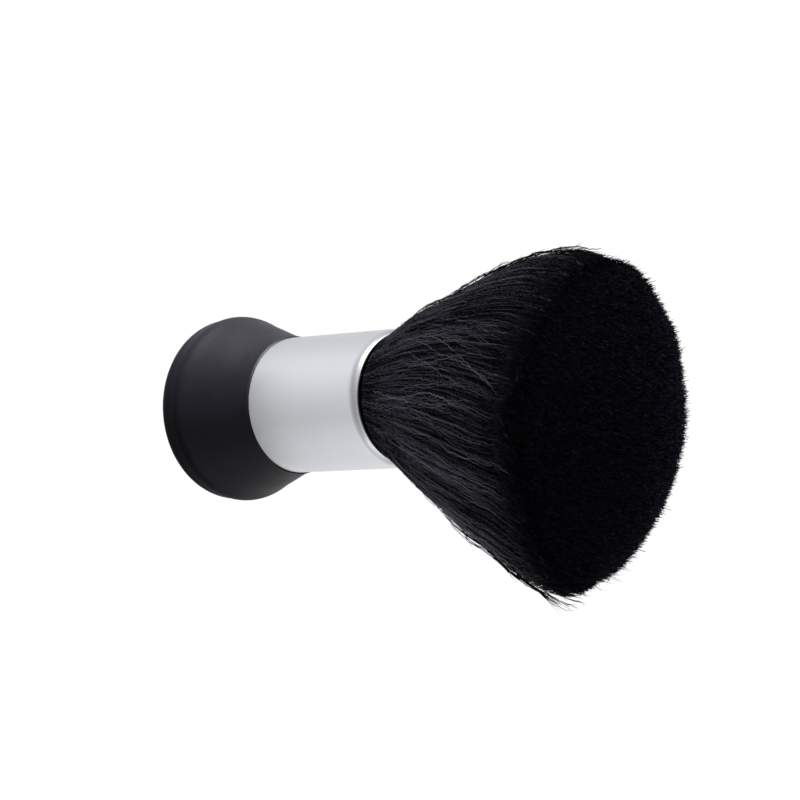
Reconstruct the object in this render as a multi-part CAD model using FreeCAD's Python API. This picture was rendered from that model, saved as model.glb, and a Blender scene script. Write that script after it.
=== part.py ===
import FreeCAD, Part
import math
import os

# Neck duster brush: moulded knob, aluminium sleeve, soft bristle tuft.
# Units are millimetres. +Z is the brush axis, from the knob to the tips.
# The origin is the centre of the flat base the brush stands on. The tuft is
# wider along X than along Y and leans towards +X.
# Profiles are lists of (radius, height), turned about Z.

Vector = FreeCAD.Vector

# Sizes shared between pieces
KNOB_H = 32.4            # base to the shoulder under the sleeve
CORE_R = 17.9            # spigot, plug and cup, stacked inside the sleeve
SPIGOT_TOP = 39.4
PLUG_TOP = 52.0
COVER_R = 18.5
COVER_T = 2.6
COVER_RING_TOP = 5.8     # the ballast lies on this ring
CAVITY_STEP_H = 14.0     # step in the knob cavity, over the ballast
CAVITY_TOP_H = 27.5
SHANK_R = 2.5            # fixing screw
INSERT_R = 3.5
INSERT_TOP = 47.4
CUP_IN_R = CORE_R - 1.2
CUP_FLOOR_TOP = PLUG_TOP + 1.4
ROOT_LOW_R = 15.0        # lower end of the root bundle, set in the resin
ROOT_LOW_Z = CUP_FLOOR_TOP + 1.0
MOUTH_Z = 75.5           # crest of the sleeve lip, where the free bristles leave
PIVOT_Z = 84.0           # centre of the ball end the tuft swings about
BALL_R = 19.3
OVERCUT = 1.0            # how far cutting tools run past a face


# ------------------------------------------------------------------- helpers
def polyline(points):
    # straight edges through (radius, height) points
    corners = [Vector(radius, 0, z) for radius, z in points]
    return [Part.makeLine(start, end) for start, end in zip(corners, corners[1:])]


def arc(start, middle, end):
    return Part.Arc(*[Vector(radius, 0, z) for radius, z in (start, middle, end)]).toShape()


def outward_solid(shape):
    # one solid with its faces turned outwards
    solid = shape if shape.ShapeType == "Solid" else Part.Solid(shape.Shells[0])
    if solid.Volume < 0:
        solid.reverse()
    return solid


def revolve(edges):
    face = Part.Face(Part.Wire(edges))
    return outward_solid(face.revolve(Vector(0, 0, 0), Vector(0, 0, 1), 360))


def turned(points):
    # full turn of a straight-sided outline, closed back to its first point
    return revolve(polyline(points + points[:1]))


def disc(radius, z_low, z_high):
    return Part.makeCylinder(radius, z_high - z_low, Vector(0, 0, z_low))


def ring(inner_r, outer_r, z_low, z_high):
    return disc(outer_r, z_low, z_high).cut(disc(inner_r, z_low - OVERCUT, z_high + OVERCUT))


def clean(shape):
    # merge split faces and unwrap a compound of one solid
    shape = shape.removeSplitter()
    if shape.ShapeType == "Compound" and len(shape.Solids) == 1:
        shape = shape.Solids[0]
    return shape


# ---------------------------------------------------------------- knob shell
FOOT_R = 20.0            # flat of the base
CORNER_ANGLE = 38        # degrees round the base corner to the arc's middle point
KNOB_SIDE = [            # (radius, height) from the base corner to the shoulder
    (25.72, 5.6), (26.30, 9.4), (25.95, 11.6), (25.15, 13.5), (24.35, 15.6),
    (23.60, 17.8), (22.75, 20.3), (21.85, 22.8), (21.00, 25.2), (20.25, 27.8),
    (19.65, 30.2), (19.38, 32.0)]
SIDE_START_DIRECTION = (0.06, 1.0)
SIDE_END_DIRECTION = (-0.14, 1.0)
SHOULDER_CHAMFER = 0.4
SPIGOT_CHAMFER = 0.5
POCKET_IN_R = 6.5        # ring-shaped pocket in the top of the spigot
POCKET_OUT_R = 14.9
POCKET_FLOOR = 34.4
SCREW_HOLE_R = SHANK_R + 0.25
COVER_RECESS_R = COVER_R + 0.1
CAVITY_LOW_R = 17.4
CAVITY_LOW_TAPER = 0.4
CAVITY_HIGH_R = 12.5
CAVITY_TOP_R = 11.6


def knob_side():
    curve = Part.BSplineCurve()
    curve.interpolate(
        Points=[Vector(radius, 0, z) for radius, z in KNOB_SIDE],
        InitialTangent=Vector(SIDE_START_DIRECTION[0], 0, SIDE_START_DIRECTION[1]),
        FinalTangent=Vector(SIDE_END_DIRECTION[0], 0, SIDE_END_DIRECTION[1]))
    return curve.toShape()


def knob_shell():
    side_r, side_z = KNOB_SIDE[0]
    angle = math.radians(CORNER_ANGLE)
    corner_middle = (FOOT_R + (side_r - FOOT_R) * math.sin(angle),
                     side_z - side_z * math.cos(angle))
    profile = polyline([(COVER_RECESS_R, 0), (FOOT_R, 0)])
    profile += [arc((FOOT_R, 0), corner_middle, KNOB_SIDE[0]), knob_side()]
    # over the shoulder and spigot, down the screw hole and out through the cavity
    profile += polyline([
        KNOB_SIDE[-1],
        (KNOB_SIDE[-1][0] - SHOULDER_CHAMFER, KNOB_H),
        (CORE_R, KNOB_H),
        (CORE_R, SPIGOT_TOP - SPIGOT_CHAMFER),
        (CORE_R - SPIGOT_CHAMFER, SPIGOT_TOP),
        (SCREW_HOLE_R, SPIGOT_TOP),
        (SCREW_HOLE_R, CAVITY_TOP_H),
        (CAVITY_TOP_R, CAVITY_TOP_H),
        (CAVITY_HIGH_R, CAVITY_STEP_H),
        (CAVITY_LOW_R - CAVITY_LOW_TAPER, CAVITY_STEP_H),
        (CAVITY_LOW_R, COVER_T),
        (COVER_RECESS_R, COVER_T),
        (COVER_RECESS_R, 0)])
    pocket = ring(POCKET_IN_R, POCKET_OUT_R, POCKET_FLOOR, SPIGOT_TOP + OVERCUT)
    return clean(revolve(profile).cut(pocket))


# ---------------------------------------------------- base cover and ballast
COVER_CHAMFER = 0.4
COVER_RING_IN_R = 14.0
COVER_RING_OUT_R = 15.8
BALLAST_R = 16.8
BALLAST_HOLE_R = 4.0
BALLAST_CHAMFER = 0.6


def base_cover():
    return turned([
        (0, 0), (COVER_R - COVER_CHAMFER, 0), (COVER_R, COVER_CHAMFER), (COVER_R, COVER_T),
        (COVER_RING_OUT_R, COVER_T), (COVER_RING_OUT_R, COVER_RING_TOP),
        (COVER_RING_IN_R, COVER_RING_TOP), (COVER_RING_IN_R, COVER_T), (0, COVER_T)])


def ballast_disc():
    low, high = COVER_RING_TOP, CAVITY_STEP_H
    hole, chamfer = BALLAST_HOLE_R, BALLAST_CHAMFER
    return turned([
        (hole + chamfer, low), (BALLAST_R - chamfer, low),
        (BALLAST_R, low + chamfer), (BALLAST_R, high - chamfer),
        (BALLAST_R - chamfer, high), (hole + chamfer, high),
        (hole, high - chamfer), (hole, low + chamfer)])


# ------------------------------------------------------ screw, washer, insert
WASHER_R = 6.0
WASHER_HOLE_R = SHANK_R + 0.2
WASHER_T = 1.1
HEAD_TOP = CAVITY_TOP_H - WASHER_T      # face of the head against the washer
HEAD_R = 4.6
HEAD_H = 3.3
HEAD_RIM_H = HEAD_H * 0.42              # straight side of the head
CROWN_R = HEAD_R * 0.62                 # middle point of the domed face
CROWN_H = HEAD_H * 0.86
SHANK_TOP = 46.6
SHANK_CHAMFER = 0.8
SLOT_W = 1.0                            # cross slot in the head
SLOT_L = 4.6
SLOT_TOOL_H = 2.0
SLOT_TOOL_DROP = 0.2                    # tool start below the head
INSERT_LOW = SPIGOT_TOP + 0.5
INSERT_BORE_R = SHANK_R + 0.02
INSERT_CHAMFER = 0.3
GROOVE_DEPTH = 0.45                     # groove round the insert's middle
GROOVE_HALF_OUTER = 0.7
GROOVE_HALF_FLOOR = 0.5


def fixing_screw():
    # pan head hangs down in the cavity, shank goes up into the insert
    head_low = HEAD_TOP - HEAD_H
    rim_low = (HEAD_R, HEAD_TOP - HEAD_RIM_H)
    profile = [arc((0, head_low), (CROWN_R, HEAD_TOP - CROWN_H), rim_low)]
    profile += polyline([
        rim_low, (HEAD_R, HEAD_TOP), (SHANK_R, HEAD_TOP),
        (SHANK_R, SHANK_TOP - SHANK_CHAMFER), (SHANK_R - SHANK_CHAMFER, SHANK_TOP),
        (0, SHANK_TOP), (0, head_low)])
    screw = revolve(profile)
    for size_x, size_y in ((SLOT_W, SLOT_L), (SLOT_L, SLOT_W)):
        corner = Vector(-size_x / 2, -size_y / 2, head_low - SLOT_TOOL_DROP)
        screw = screw.cut(Part.makeBox(size_x, size_y, SLOT_TOOL_H, corner))
    return clean(screw)


def screw_washer():
    return ring(WASHER_HOLE_R, WASHER_R, HEAD_TOP, CAVITY_TOP_H)


def threaded_insert():
    middle = (INSERT_LOW + INSERT_TOP) / 2
    groove_r = INSERT_R - GROOVE_DEPTH
    chamfer_r = INSERT_R - INSERT_CHAMFER
    return turned([
        (INSERT_BORE_R, INSERT_LOW), (chamfer_r, INSERT_LOW),
        (INSERT_R, INSERT_LOW + INSERT_CHAMFER),
        (INSERT_R, middle - GROOVE_HALF_OUTER), (groove_r, middle - GROOVE_HALF_FLOOR),
        (groove_r, middle + GROOVE_HALF_FLOOR), (INSERT_R, middle + GROOVE_HALF_OUTER),
        (INSERT_R, INSERT_TOP - INSERT_CHAMFER),
        (chamfer_r, INSERT_TOP), (INSERT_BORE_R, INSERT_TOP)])


# ----------------------------------------------------- plug, cup, resin, cord
PLUG_CHAMFER = 0.5
PLUG_BORE_TOP = INSERT_TOP + 1.0
CUP_CHAMFER = 0.4
CUP_TOP = 68.0
RESIN_TOP = 59.0
CORD_R = 0.5
CORD_COIL_R = ROOT_LOW_R + CORD_R + 0.1
CORD_PITCH = 1.15
CORD_TURNS = 2.5
CORD_Z = 59.9            # start of the coil


def core_plug():
    plug = turned([
        (0, SPIGOT_TOP), (CORE_R - PLUG_CHAMFER, SPIGOT_TOP),
        (CORE_R, SPIGOT_TOP + PLUG_CHAMFER), (CORE_R, PLUG_TOP - PLUG_CHAMFER),
        (CORE_R - PLUG_CHAMFER, PLUG_TOP), (0, PLUG_TOP)])
    return clean(plug.cut(disc(INSERT_R, SPIGOT_TOP - OVERCUT, PLUG_BORE_TOP)))


def bristle_cup():
    return turned([
        (0, PLUG_TOP), (CORE_R - CUP_CHAMFER, PLUG_TOP), (CORE_R, PLUG_TOP + CUP_CHAMFER),
        (CORE_R, CUP_TOP), (CUP_IN_R, CUP_TOP), (CUP_IN_R, CUP_FLOOR_TOP), (0, CUP_FLOOR_TOP)])


def resin_plug():
    resin = disc(CUP_IN_R, CUP_FLOOR_TOP, RESIN_TOP)
    return clean(resin.cut(disc(ROOT_LOW_R, ROOT_LOW_Z, RESIN_TOP + OVERCUT)))


def binding_cord():
    # cord wound round the roots, one swept coil
    helix = Part.makeHelix(CORD_PITCH, CORD_PITCH * CORD_TURNS, CORD_COIL_R)
    direction = Vector(0, 1, CORD_PITCH / (2 * math.pi * CORD_COIL_R))
    section = Part.Wire(Part.makeCircle(CORD_R, Vector(CORD_COIL_R, 0, 0), direction))
    cord = Part.Wire(helix.Edges).makePipeShell([section], True, True)
    cord.translate(Vector(0, 0, CORD_Z))
    return outward_solid(cord)


# -------------------------------------------------------------------- sleeve
SLEEVE_IN_R = CORE_R + 0.1
SLEEVE_R = SLEEVE_IN_R + 1.0
SLEEVE_CHAMFER = 0.15
LIP_IN_R = 17.35
# lip points, (radius, height), up the outside, over the crest, down the inside
LIP_OUT_START = (SLEEVE_R, 72.4)
LIP_OUT_MIDDLE = (18.82, 73.73)
LIP_OUT_END = (18.27, 75.0)
LIP_CREST = (17.80, MOUTH_Z)
LIP_IN_START = (LIP_IN_R, 75.05)
LIP_IN_LOW = (LIP_IN_R, 74.70)
LIP_IN_MIDDLE = (17.83, 73.10)
LIP_IN_END = (SLEEVE_IN_R, 71.50)


def ferrule():
    profile = polyline([
        (SLEEVE_IN_R, KNOB_H), (SLEEVE_R - SLEEVE_CHAMFER, KNOB_H),
        (SLEEVE_R, KNOB_H + SLEEVE_CHAMFER), LIP_OUT_START])
    profile += [arc(LIP_OUT_START, LIP_OUT_MIDDLE, LIP_OUT_END),
                arc(LIP_OUT_END, LIP_CREST, LIP_IN_START)]
    profile += polyline([LIP_IN_START, LIP_IN_LOW])
    profile += [arc(LIP_IN_LOW, LIP_IN_MIDDLE, LIP_IN_END)]
    profile += polyline([LIP_IN_END, (SLEEVE_IN_R, KNOB_H)])
    return revolve(profile)


# --------------------------------------------------------------- root bundle
SOCKET_R = BALL_R + 0.06
ROOT_R = 17.15
ROOT_TOP = 74.5
ROOT_SIDE = [            # (radius, height) up the side
    (ROOT_LOW_R, ROOT_LOW_Z), (ROOT_LOW_R, 62.9), (16.5, 66.6), (16.5, 68.4),
    (ROOT_R, 71.4), (ROOT_R, ROOT_TOP)]


def bristle_root():
    # the top is hollowed to take the ball end of the tuft
    socket_rim = (math.sqrt(SOCKET_R ** 2 - (PIVOT_Z - ROOT_TOP) ** 2), ROOT_TOP)
    middle_r = socket_rim[0] * 0.6
    socket_middle = (middle_r, PIVOT_Z - math.sqrt(SOCKET_R ** 2 - middle_r ** 2))
    socket_low = (0, PIVOT_Z - SOCKET_R)
    profile = polyline([(0, ROOT_LOW_Z)] + ROOT_SIDE + [socket_rim])
    profile += [arc(socket_rim, socket_middle, socket_low)]
    profile += polyline([socket_low, (0, ROOT_LOW_Z)])
    return revolve(profile)


# ---------------------------------------------------------------- free tuft
MOUTH_R = 17.6
RIM_Z = 140.4            # height of the rim's centre
RIM_HALF_X = 46.0
RIM_HALF_Y = 32.7
RIM_EXPONENT = 1.69      # outline exponent, 2 is an ellipse
RIM_OFFSET_X = 9.1
RIM_OFFSET_Y = 0.7
RIM_TILT = 0.065         # radians, end turned towards +X
RIM_ROLL = -0.209        # radians, outline turned about the axis
FLARE_X = 1.207          # flare curve exponents: half widths, then offset
FLARE_Y = 1.912
FLARE_OFFSET = 1.024
BULGE = 0.985            # extra width between mouth and rim
BLEND_H = 13.0           # height over the pivot where the ball's width fades out
BLEND_R = BALL_R + 0.25
OUTLINE_POINTS = 40
SIDE_STEPS = 8           # lofted steps from pivot to rim
DOME_H = 23.3
DOME_EXPONENT = 1.60
DOME_SCALES = (0.93, 0.82, 0.68, 0.52, 0.34, 0.16)


def tuft_outline(flare, scale=1.0, rise=0.0):
    # closed outline at flare 0 (mouth) to 1 (rim), shrunk by scale and lifted
    # by rise along the tilted end direction
    bulge = BULGE * flare * (1 - flare)
    exponent = 2 + (RIM_EXPONENT - 2) * flare
    centre_z = MOUTH_Z + (RIM_Z - MOUTH_Z) * flare
    # the part just over the pivot stays close to the ball
    blend = min(1.0, max(0.0, (centre_z - PIVOT_Z) / BLEND_H))
    blend = 1 - (1 - blend) ** 2
    half_x = MOUTH_R + (RIM_HALF_X - MOUTH_R) * (flare ** FLARE_X + bulge)
    half_y = MOUTH_R + (RIM_HALF_Y - MOUTH_R) * (flare ** FLARE_Y + bulge)
    half_x = BLEND_R * (1 - blend) + half_x * blend
    half_y = BLEND_R * (1 - blend) + half_y * blend
    offset = flare ** FLARE_OFFSET * blend
    tilt = RIM_TILT * flare * blend
    roll = RIM_ROLL * flare
    points = []
    for i in range(OUTLINE_POINTS):
        angle = 2 * math.pi * i / OUTLINE_POINTS
        cosine, sine = math.cos(angle), math.sin(angle)
        # superellipse radius at this angle, in the scaled circle
        reach = (abs(cosine) ** exponent + abs(sine) ** exponent) ** (-1.0 / exponent)
        flat_x = half_x * scale * cosine * reach
        flat_y = half_y * scale * sine * reach
        x = math.cos(roll) * flat_x - math.sin(roll) * flat_y
        y = math.sin(roll) * flat_x + math.cos(roll) * flat_y
        points.append(Vector(
            RIM_OFFSET_X * offset + x * math.cos(tilt) + rise * math.sin(tilt),
            RIM_OFFSET_Y * offset + y,
            centre_z - x * math.sin(tilt) + rise * math.cos(tilt)))
    curve = Part.BSplineCurve()
    curve.interpolate(Points=points, PeriodicFlag=True)
    return Part.Wire(curve.toShape())


def bristle_tuft():
    start = (PIVOT_Z - MOUTH_Z) / (RIM_Z - MOUTH_Z)
    sections = [tuft_outline(start + (1 - start) * i / SIDE_STEPS)
                for i in range(SIDE_STEPS + 1)]
    for scale in DOME_SCALES:
        rise = DOME_H * (1 - scale ** DOME_EXPONENT) ** (1 / DOME_EXPONENT)
        sections.append(tuft_outline(1.0, scale, rise))
    body = Part.makeLoft(sections, True, False)
    ball = Part.makeSphere(BALL_R, Vector(0, 0, PIVOT_Z), Vector(0, 0, 1), -90, 0, 360)
    return clean(body.fuse(ball))


# -------------------------------------------------------------------- export
PIECES = [knob_shell, base_cover, ballast_disc, fixing_screw, screw_washer,
          threaded_insert, core_plug, ferrule, bristle_cup, resin_plug,
          binding_cord, bristle_root, bristle_tuft]

# each file takes the name of the function that builds its piece
os.makedirs("parts", exist_ok=True)
for build in PIECES:
    build().exportStep("parts/%s.step" % build.__name__)
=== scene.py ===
import bpy
import math
import numpy as np
from mathutils import Matrix, Vector


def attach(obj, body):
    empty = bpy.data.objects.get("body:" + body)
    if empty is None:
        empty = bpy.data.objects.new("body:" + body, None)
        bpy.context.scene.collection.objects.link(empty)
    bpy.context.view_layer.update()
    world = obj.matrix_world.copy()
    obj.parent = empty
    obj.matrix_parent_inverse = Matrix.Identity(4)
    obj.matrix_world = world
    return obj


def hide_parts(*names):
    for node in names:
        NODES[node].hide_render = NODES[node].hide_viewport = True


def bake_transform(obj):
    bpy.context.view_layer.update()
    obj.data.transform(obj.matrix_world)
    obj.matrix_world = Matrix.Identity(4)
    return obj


# Neck duster brush. It stands on its base at z = 0 with +Z along the brush: knob, metal
# sleeve, then a flaring bundle of bristles that ends in a domed face.
# The scene is in metres; the bristles are worked out in millimetres and scaled by MM.
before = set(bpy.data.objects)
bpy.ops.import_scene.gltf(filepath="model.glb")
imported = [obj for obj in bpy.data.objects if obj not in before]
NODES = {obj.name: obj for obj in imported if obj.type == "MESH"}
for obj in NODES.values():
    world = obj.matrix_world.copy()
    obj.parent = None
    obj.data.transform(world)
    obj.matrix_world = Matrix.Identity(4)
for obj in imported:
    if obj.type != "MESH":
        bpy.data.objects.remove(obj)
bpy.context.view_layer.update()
SCENE = bpy.context.scene
DENSITY = 1.0     # share of the bristles that is built
MM = 0.001
TAU = 2 * math.pi

# ------------------------------------------------------------------ view
# The camera's axes and position (mm). The bundle's uneven outline is laid out in this view.
VIEW_RIGHT = np.array((0.06549, 0.71475, 0.69630))
VIEW_UP = np.array((-0.99785, 0.04691, 0.04570))
VIEW_BACK = np.array((0.0, -0.69780, 0.71629))
VIEW_FROM = np.array((0.47, -630.24, 720.09))
# Middle of the outline in the view: slopes from the view axis, to the right and up.
VIEW_CENTRE = (0.03015864, -0.002412691)

# --------------------------------------------------------- bundle outline
MOUTH_Z, MOUTH_R = 75.5, 17.15            # the sleeve's mouth
RIM_Z = 140.4
RIM_A, RIM_B = 46.0, 32.7                 # half-widths of the rim
RIM_POWER = 1.69                          # superellipse power at the rim; 2 at the mouth
RIM_X, RIM_Y = 9.1, 0.7                   # shift of the rim's centre
RIM_TILT, RIM_ROLL = 0.065, -0.209        # radians, about Y and about Z
DOME_H, DOME_POWER = 23.3, 1.60
FLARE_A, FLARE_B, FLARE_SHIFT = 1.207, 1.912, 1.024   # powers of the rise: widths, centre
BULGE = 0.985
SLIM = 0.45                               # the half-widths lose this much above the mouth
SWIRL = 0.235                             # turn of the fibres from mouth to rim, radians
MOUTH_SWELL = 0.65                        # outer fibres spill over the mouth by this much
# Dents and swells of the outline: angle in the view, spread (degrees), outward shift.
UNEVEN = [
    (112, 26, -1.15), (54, 6.5, -2.3), (22, 7, 1.1), (-12, 10, -0.8), (-60, 4, -0.8),
    (-77, 8, 0.5), (-96, 7, -1.2), (-117, 10, -0.6), (-106, 6, -0.45), (-86, 6, -0.55)]

FIBRE_LENGTH = RIM_Z - MOUTH_Z + 12       # paces the crimp of the coarse fibres
CRIMP_LENGTH = 77                         # paces the crimp of the fine fibres
PIECE_TRIANGLES = 190000                  # most triangles in one bristle object


def smooth(start, end, x):
    """Smooth step from 0 at start to 1 at end; start may be the larger."""
    t = np.clip((x - start) / (end - start), 0, 1)
    return t * t * (3 - 2 * t)


def near_angle(u, centre, spread):
    """1 at the centre angle, falling to 0 over the spread (radians)."""
    return np.exp(-(np.angle(np.exp(1j * (u - centre))) / spread) ** 2)


def outline_shift(p, s, rho):
    """Uneven shift of points p, across the view and away from the outline's middle."""
    from_view = p - VIEW_FROM
    depth = -(from_view @ VIEW_BACK)
    across = (from_view @ VIEW_RIGHT) / depth - VIEW_CENTRE[0]
    rise = (from_view @ VIEW_UP) / depth - VIEW_CENTRE[1]
    angle = np.degrees(np.arctan2(rise, across))
    shift = 0.0
    for centre, spread, outward in UNEVEN:
        shift = shift + outward * np.exp(-((angle - centre) / spread) ** 2)
    shift = shift * np.clip(rho, 0, 1) ** 2 * smooth(0.1, 0.35, s)
    turn = np.radians(angle)
    return ((np.cos(turn) * shift)[..., None] * VIEW_RIGHT
            + (np.sin(turn) * shift)[..., None] * VIEW_UP)


def place(s, u, rho, around=0.0, outward=0.0):
    """Point of the bundle in mm: s from the mouth (0) to the rim (1), angle u, and rho from
    the middle (0) to the surface (1), then moved around and outward by millimetres."""
    s, u, rho = np.broadcast_arrays(np.asarray(s, float), u, rho)
    t = np.clip(s, 0, 1.15)
    t_rim = np.clip(s, 0, 1)
    bulge = BULGE * t * (1 - t)
    power = 2 + (RIM_POWER - 2) * t_rim
    u = u + SWIRL * (1 + 0.12 * np.cos(u + 1.0)) * t ** (2.5 - 0.6 * np.cos(u + 1.0))
    half_a = MOUTH_R + (RIM_A - MOUTH_R) * (t ** FLARE_A + bulge)
    half_b = MOUTH_R + (RIM_B - MOUTH_R) * (t ** FLARE_B + bulge)
    slim = SLIM * smooth(0.1, 0.35, t_rim)
    half_a, half_b = half_a - slim, half_b - slim
    # superellipse cross-section, rolled about Z
    cos_u, sin_u = np.cos(u), np.sin(u)
    reach = (np.abs(cos_u) ** power + np.abs(sin_u) ** power) ** (-1.0 / power)
    x, y = half_a * rho * cos_u * reach, half_b * rho * sin_u * reach
    cos_r, sin_r = np.cos(RIM_ROLL * t_rim), np.sin(RIM_ROLL * t_rim)
    x, y = cos_r * x - sin_r * y, sin_r * x + cos_r * y
    radius = np.hypot(x, y) + 1e-6
    out_x, out_y = x / radius, y / radius
    # dome, tilted about Y
    dome = (1 - np.clip(rho, 0, 1) ** DOME_POWER) ** (1 / DOME_POWER)
    lift = DOME_H * dome * t_rim
    cos_t, sin_t = np.cos(RIM_TILT * t_rim), np.sin(RIM_TILT * t_rim)
    z = MOUTH_Z + (RIM_Z - MOUTH_Z) * s
    p = np.stack([RIM_X * t ** FLARE_SHIFT + x * cos_t + lift * sin_t,
                  RIM_Y * t ** FLARE_SHIFT + y,
                  z - x * sin_t + lift * cos_t], -1)
    way_around = np.stack([-out_y, out_x, 0 * out_x], -1)
    way_out = np.stack([out_x, out_y, 0 * out_x], -1)
    swell = (MOUTH_SWELL * smooth(0.0, 0.02, s) * (1 - smooth(0.08, 0.5, s))
             * np.clip((rho - 0.85) / 0.13, 0, 1))
    p = (p + way_around * np.asarray(around)[..., None]
         + way_out * (np.asarray(outward) + swell)[..., None])
    return p + outline_shift(p, s, rho)


# ---------------------------------------------------------- mesh building
def put(name, data):
    ob = bpy.data.objects.new(name, data)
    SCENE.collection.objects.link(ob)
    return ob


def fibre_mesh(name, points, radii, shade):
    """Closed three-sided fibres: points (fibre, ring, xyz), radii and shade (fibre, ring)."""
    count, rings = radii.shape
    along = np.gradient(points, axis=1)
    along /= np.linalg.norm(along, axis=2, keepdims=True) + 1e-9
    turn = np.random.default_rng(count * 31 + rings).uniform(0, TAU, count)
    guide = np.stack([np.cos(turn), np.sin(turn), 0 * turn], -1)[:, None, :]
    side_a = guide - (guide * along).sum(2, keepdims=True) * along
    side_a /= np.linalg.norm(side_a, axis=2, keepdims=True) + 1e-9
    side_b = np.cross(along, side_a)
    edges = []
    for k in range(3):
        c, s = math.cos(TAU * k / 3), math.sin(TAU * k / 3)
        edges.append(points + (side_a * c + side_b * s) * radii[..., None])
    ring = np.stack(edges, 2)
    tip = points[:, -1] + along[:, -1] * (radii[:, -1] * 2.2)[:, None]
    verts = np.concatenate([ring.reshape(count, rings * 3, 3), tip[:, None, :]], 1)
    per_fibre = rings * 3 + 1

    # Face corners of one fibre: vertex, u, v. Root cap, sides, pointed end.
    def height(i):
        return 0.03 + 0.94 * i / rings

    corners = [(0, 0.1, 0.0), (2, 0.5, 0.015), (1, 0.9, 0.0)]
    sizes = [3]
    for i in range(rings - 1):
        for k in range(3):
            j = (k + 1) % 3
            left, right = k / 3.0, (k + 1) / 3.0
            corners += [(i * 3 + k, left, height(i)), (i * 3 + j, right, height(i)),
                        ((i + 1) * 3 + j, right, height(i + 1)),
                        ((i + 1) * 3 + k, left, height(i + 1))]
            sizes.append(4)
    last = (rings - 1) * 3
    for k in range(3):
        left, right = k / 3.0, (k + 1) / 3.0
        corners += [(last + k, left, height(rings - 1)),
                    (last + (k + 1) % 3, right, height(rings - 1)),
                    (rings * 3, (left + right) / 2, 0.99)]
        sizes.append(3)
    vertex, corner_u, corner_v = np.array(corners).T
    fibre = np.arange(count)
    loops = (vertex.astype(int)[None, :] + (fibre * per_fibre)[:, None]).ravel()
    starts = np.concatenate([[0], np.cumsum(sizes)[:-1]])
    starts = (starts[None, :] + (fibre * len(corners))[:, None]).ravel()
    me = bpy.data.meshes.new(name)
    me.vertices.add(count * per_fibre)
    me.vertices.foreach_set("co", (verts.reshape(-1, 3) * MM).astype(np.float32).ravel())
    me.loops.add(len(loops))
    me.loops.foreach_set("vertex_index", loops.astype(np.int32))
    me.polygons.add(len(starts))
    me.polygons.foreach_set("loop_start", starts.astype(np.int32))
    me.polygons.foreach_set("use_smooth", np.ones(len(starts), bool))
    me.update(calc_edges=True)

    # each fibre has its own cell of a square UV grid
    grid = int(math.ceil(math.sqrt(count)))
    cell = 1.0 / grid
    uv_u = ((fibre % grid)[:, None] + 0.1 + 0.8 * corner_u[None, :]) * cell
    uv_v = ((fibre // grid)[:, None] + 0.1 + 0.8 * corner_v[None, :]) * cell
    uv = me.uv_layers.new(name="OFBake")
    uv.data.foreach_set("uv", np.stack([uv_u, uv_v], -1).astype(np.float32).ravel())
    attribute = me.attributes.new("shade", "FLOAT", "POINT")
    values = np.concatenate([np.repeat(shade, 3, axis=1), shade[:, -1:]], 1)
    attribute.data.foreach_set("value", values.astype(np.float32).ravel())
    return put(name, me)


def closed_rings(name, bottom, rows, top):
    """Closed solid from rings of points (mm) with a middle point at each end."""
    count = len(rows[0])
    verts = np.concatenate([[bottom], np.concatenate(rows), [top]])
    faces = [(0, 1 + (k + 1) % count, 1 + k) for k in range(count)]
    for i in range(len(rows) - 1):
        a, b = 1 + i * count, 1 + (i + 1) * count
        faces += [(a + k, a + (k + 1) % count, b + (k + 1) % count, b + k)
                  for k in range(count)]
    b = 1 + (len(rows) - 1) * count
    faces += [(b + k, b + (k + 1) % count, len(verts) - 1) for k in range(count)]
    me = bpy.data.meshes.new(name)
    me.from_pydata((verts * MM).tolist(), [], faces)
    me.polygons.foreach_set("use_smooth", np.ones(len(faces), bool))
    me.update()
    return put(name, me)


# ------------------------------------------------------------ node helpers
def feed(nt, value, socket):
    """Link an output to the socket, or set the socket's value."""
    if isinstance(value, bpy.types.NodeSocket):
        nt.links.new(value, socket)
    else:
        socket.default_value = value


def add(nt, kind, **values):
    """New shader node; each named value goes to the input, or else the setting, so called."""
    node = nt.nodes.new("ShaderNode" + kind)
    for key, value in values.items():
        if key in node.inputs.keys():
            feed(nt, value, node.inputs[key])
        else:
            setattr(node, key, value)
    return node


def maths(nt, operation, *values):
    node = add(nt, "Math", operation=operation)
    for i, value in enumerate(values):
        feed(nt, value, node.inputs[i])
    return node.outputs[0]


def mix_colours(nt, factor, a, b, blend="MIX"):
    node = add(nt, "Mix", data_type="RGBA", blend_type=blend)
    for i, value in ((0, factor), (6, a), (7, b)):
        feed(nt, value, node.inputs[i])
    return node.outputs[2]


def multiply(nt, a, b):
    return mix_colours(nt, 1.0, a, b, blend="MULTIPLY")


def join_shaders(nt, kind, *values):
    node = add(nt, kind)
    for i, value in enumerate(values):
        feed(nt, value, node.inputs[i])
    return node.outputs[0]


def ramp(nt, stops, source):
    """Colour ramp from (position, colour) stops."""
    node = add(nt, "ValToRGB")
    elements = node.color_ramp.elements
    while len(elements) > 1:
        elements.remove(elements[-1])
    elements[0].position, elements[0].color = stops[0][0], (*stops[0][1], 1)
    for position, colour in stops[1:]:
        elements.new(position).color = (*colour, 1)
    nt.links.new(source, node.inputs[0])
    return node.outputs["Color"]


def grey_ramp(nt, stops, source):
    return ramp(nt, [(position, (level,) * 3) for position, level in stops], source)


def turn_ramp(nt, stops, source):
    """Grey ramp over the azimuth, from (degrees from +X towards +Y, level) stops."""
    return grey_ramp(nt, [((deg + 180) / 360.0, level) for deg, level in stops], source)


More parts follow.
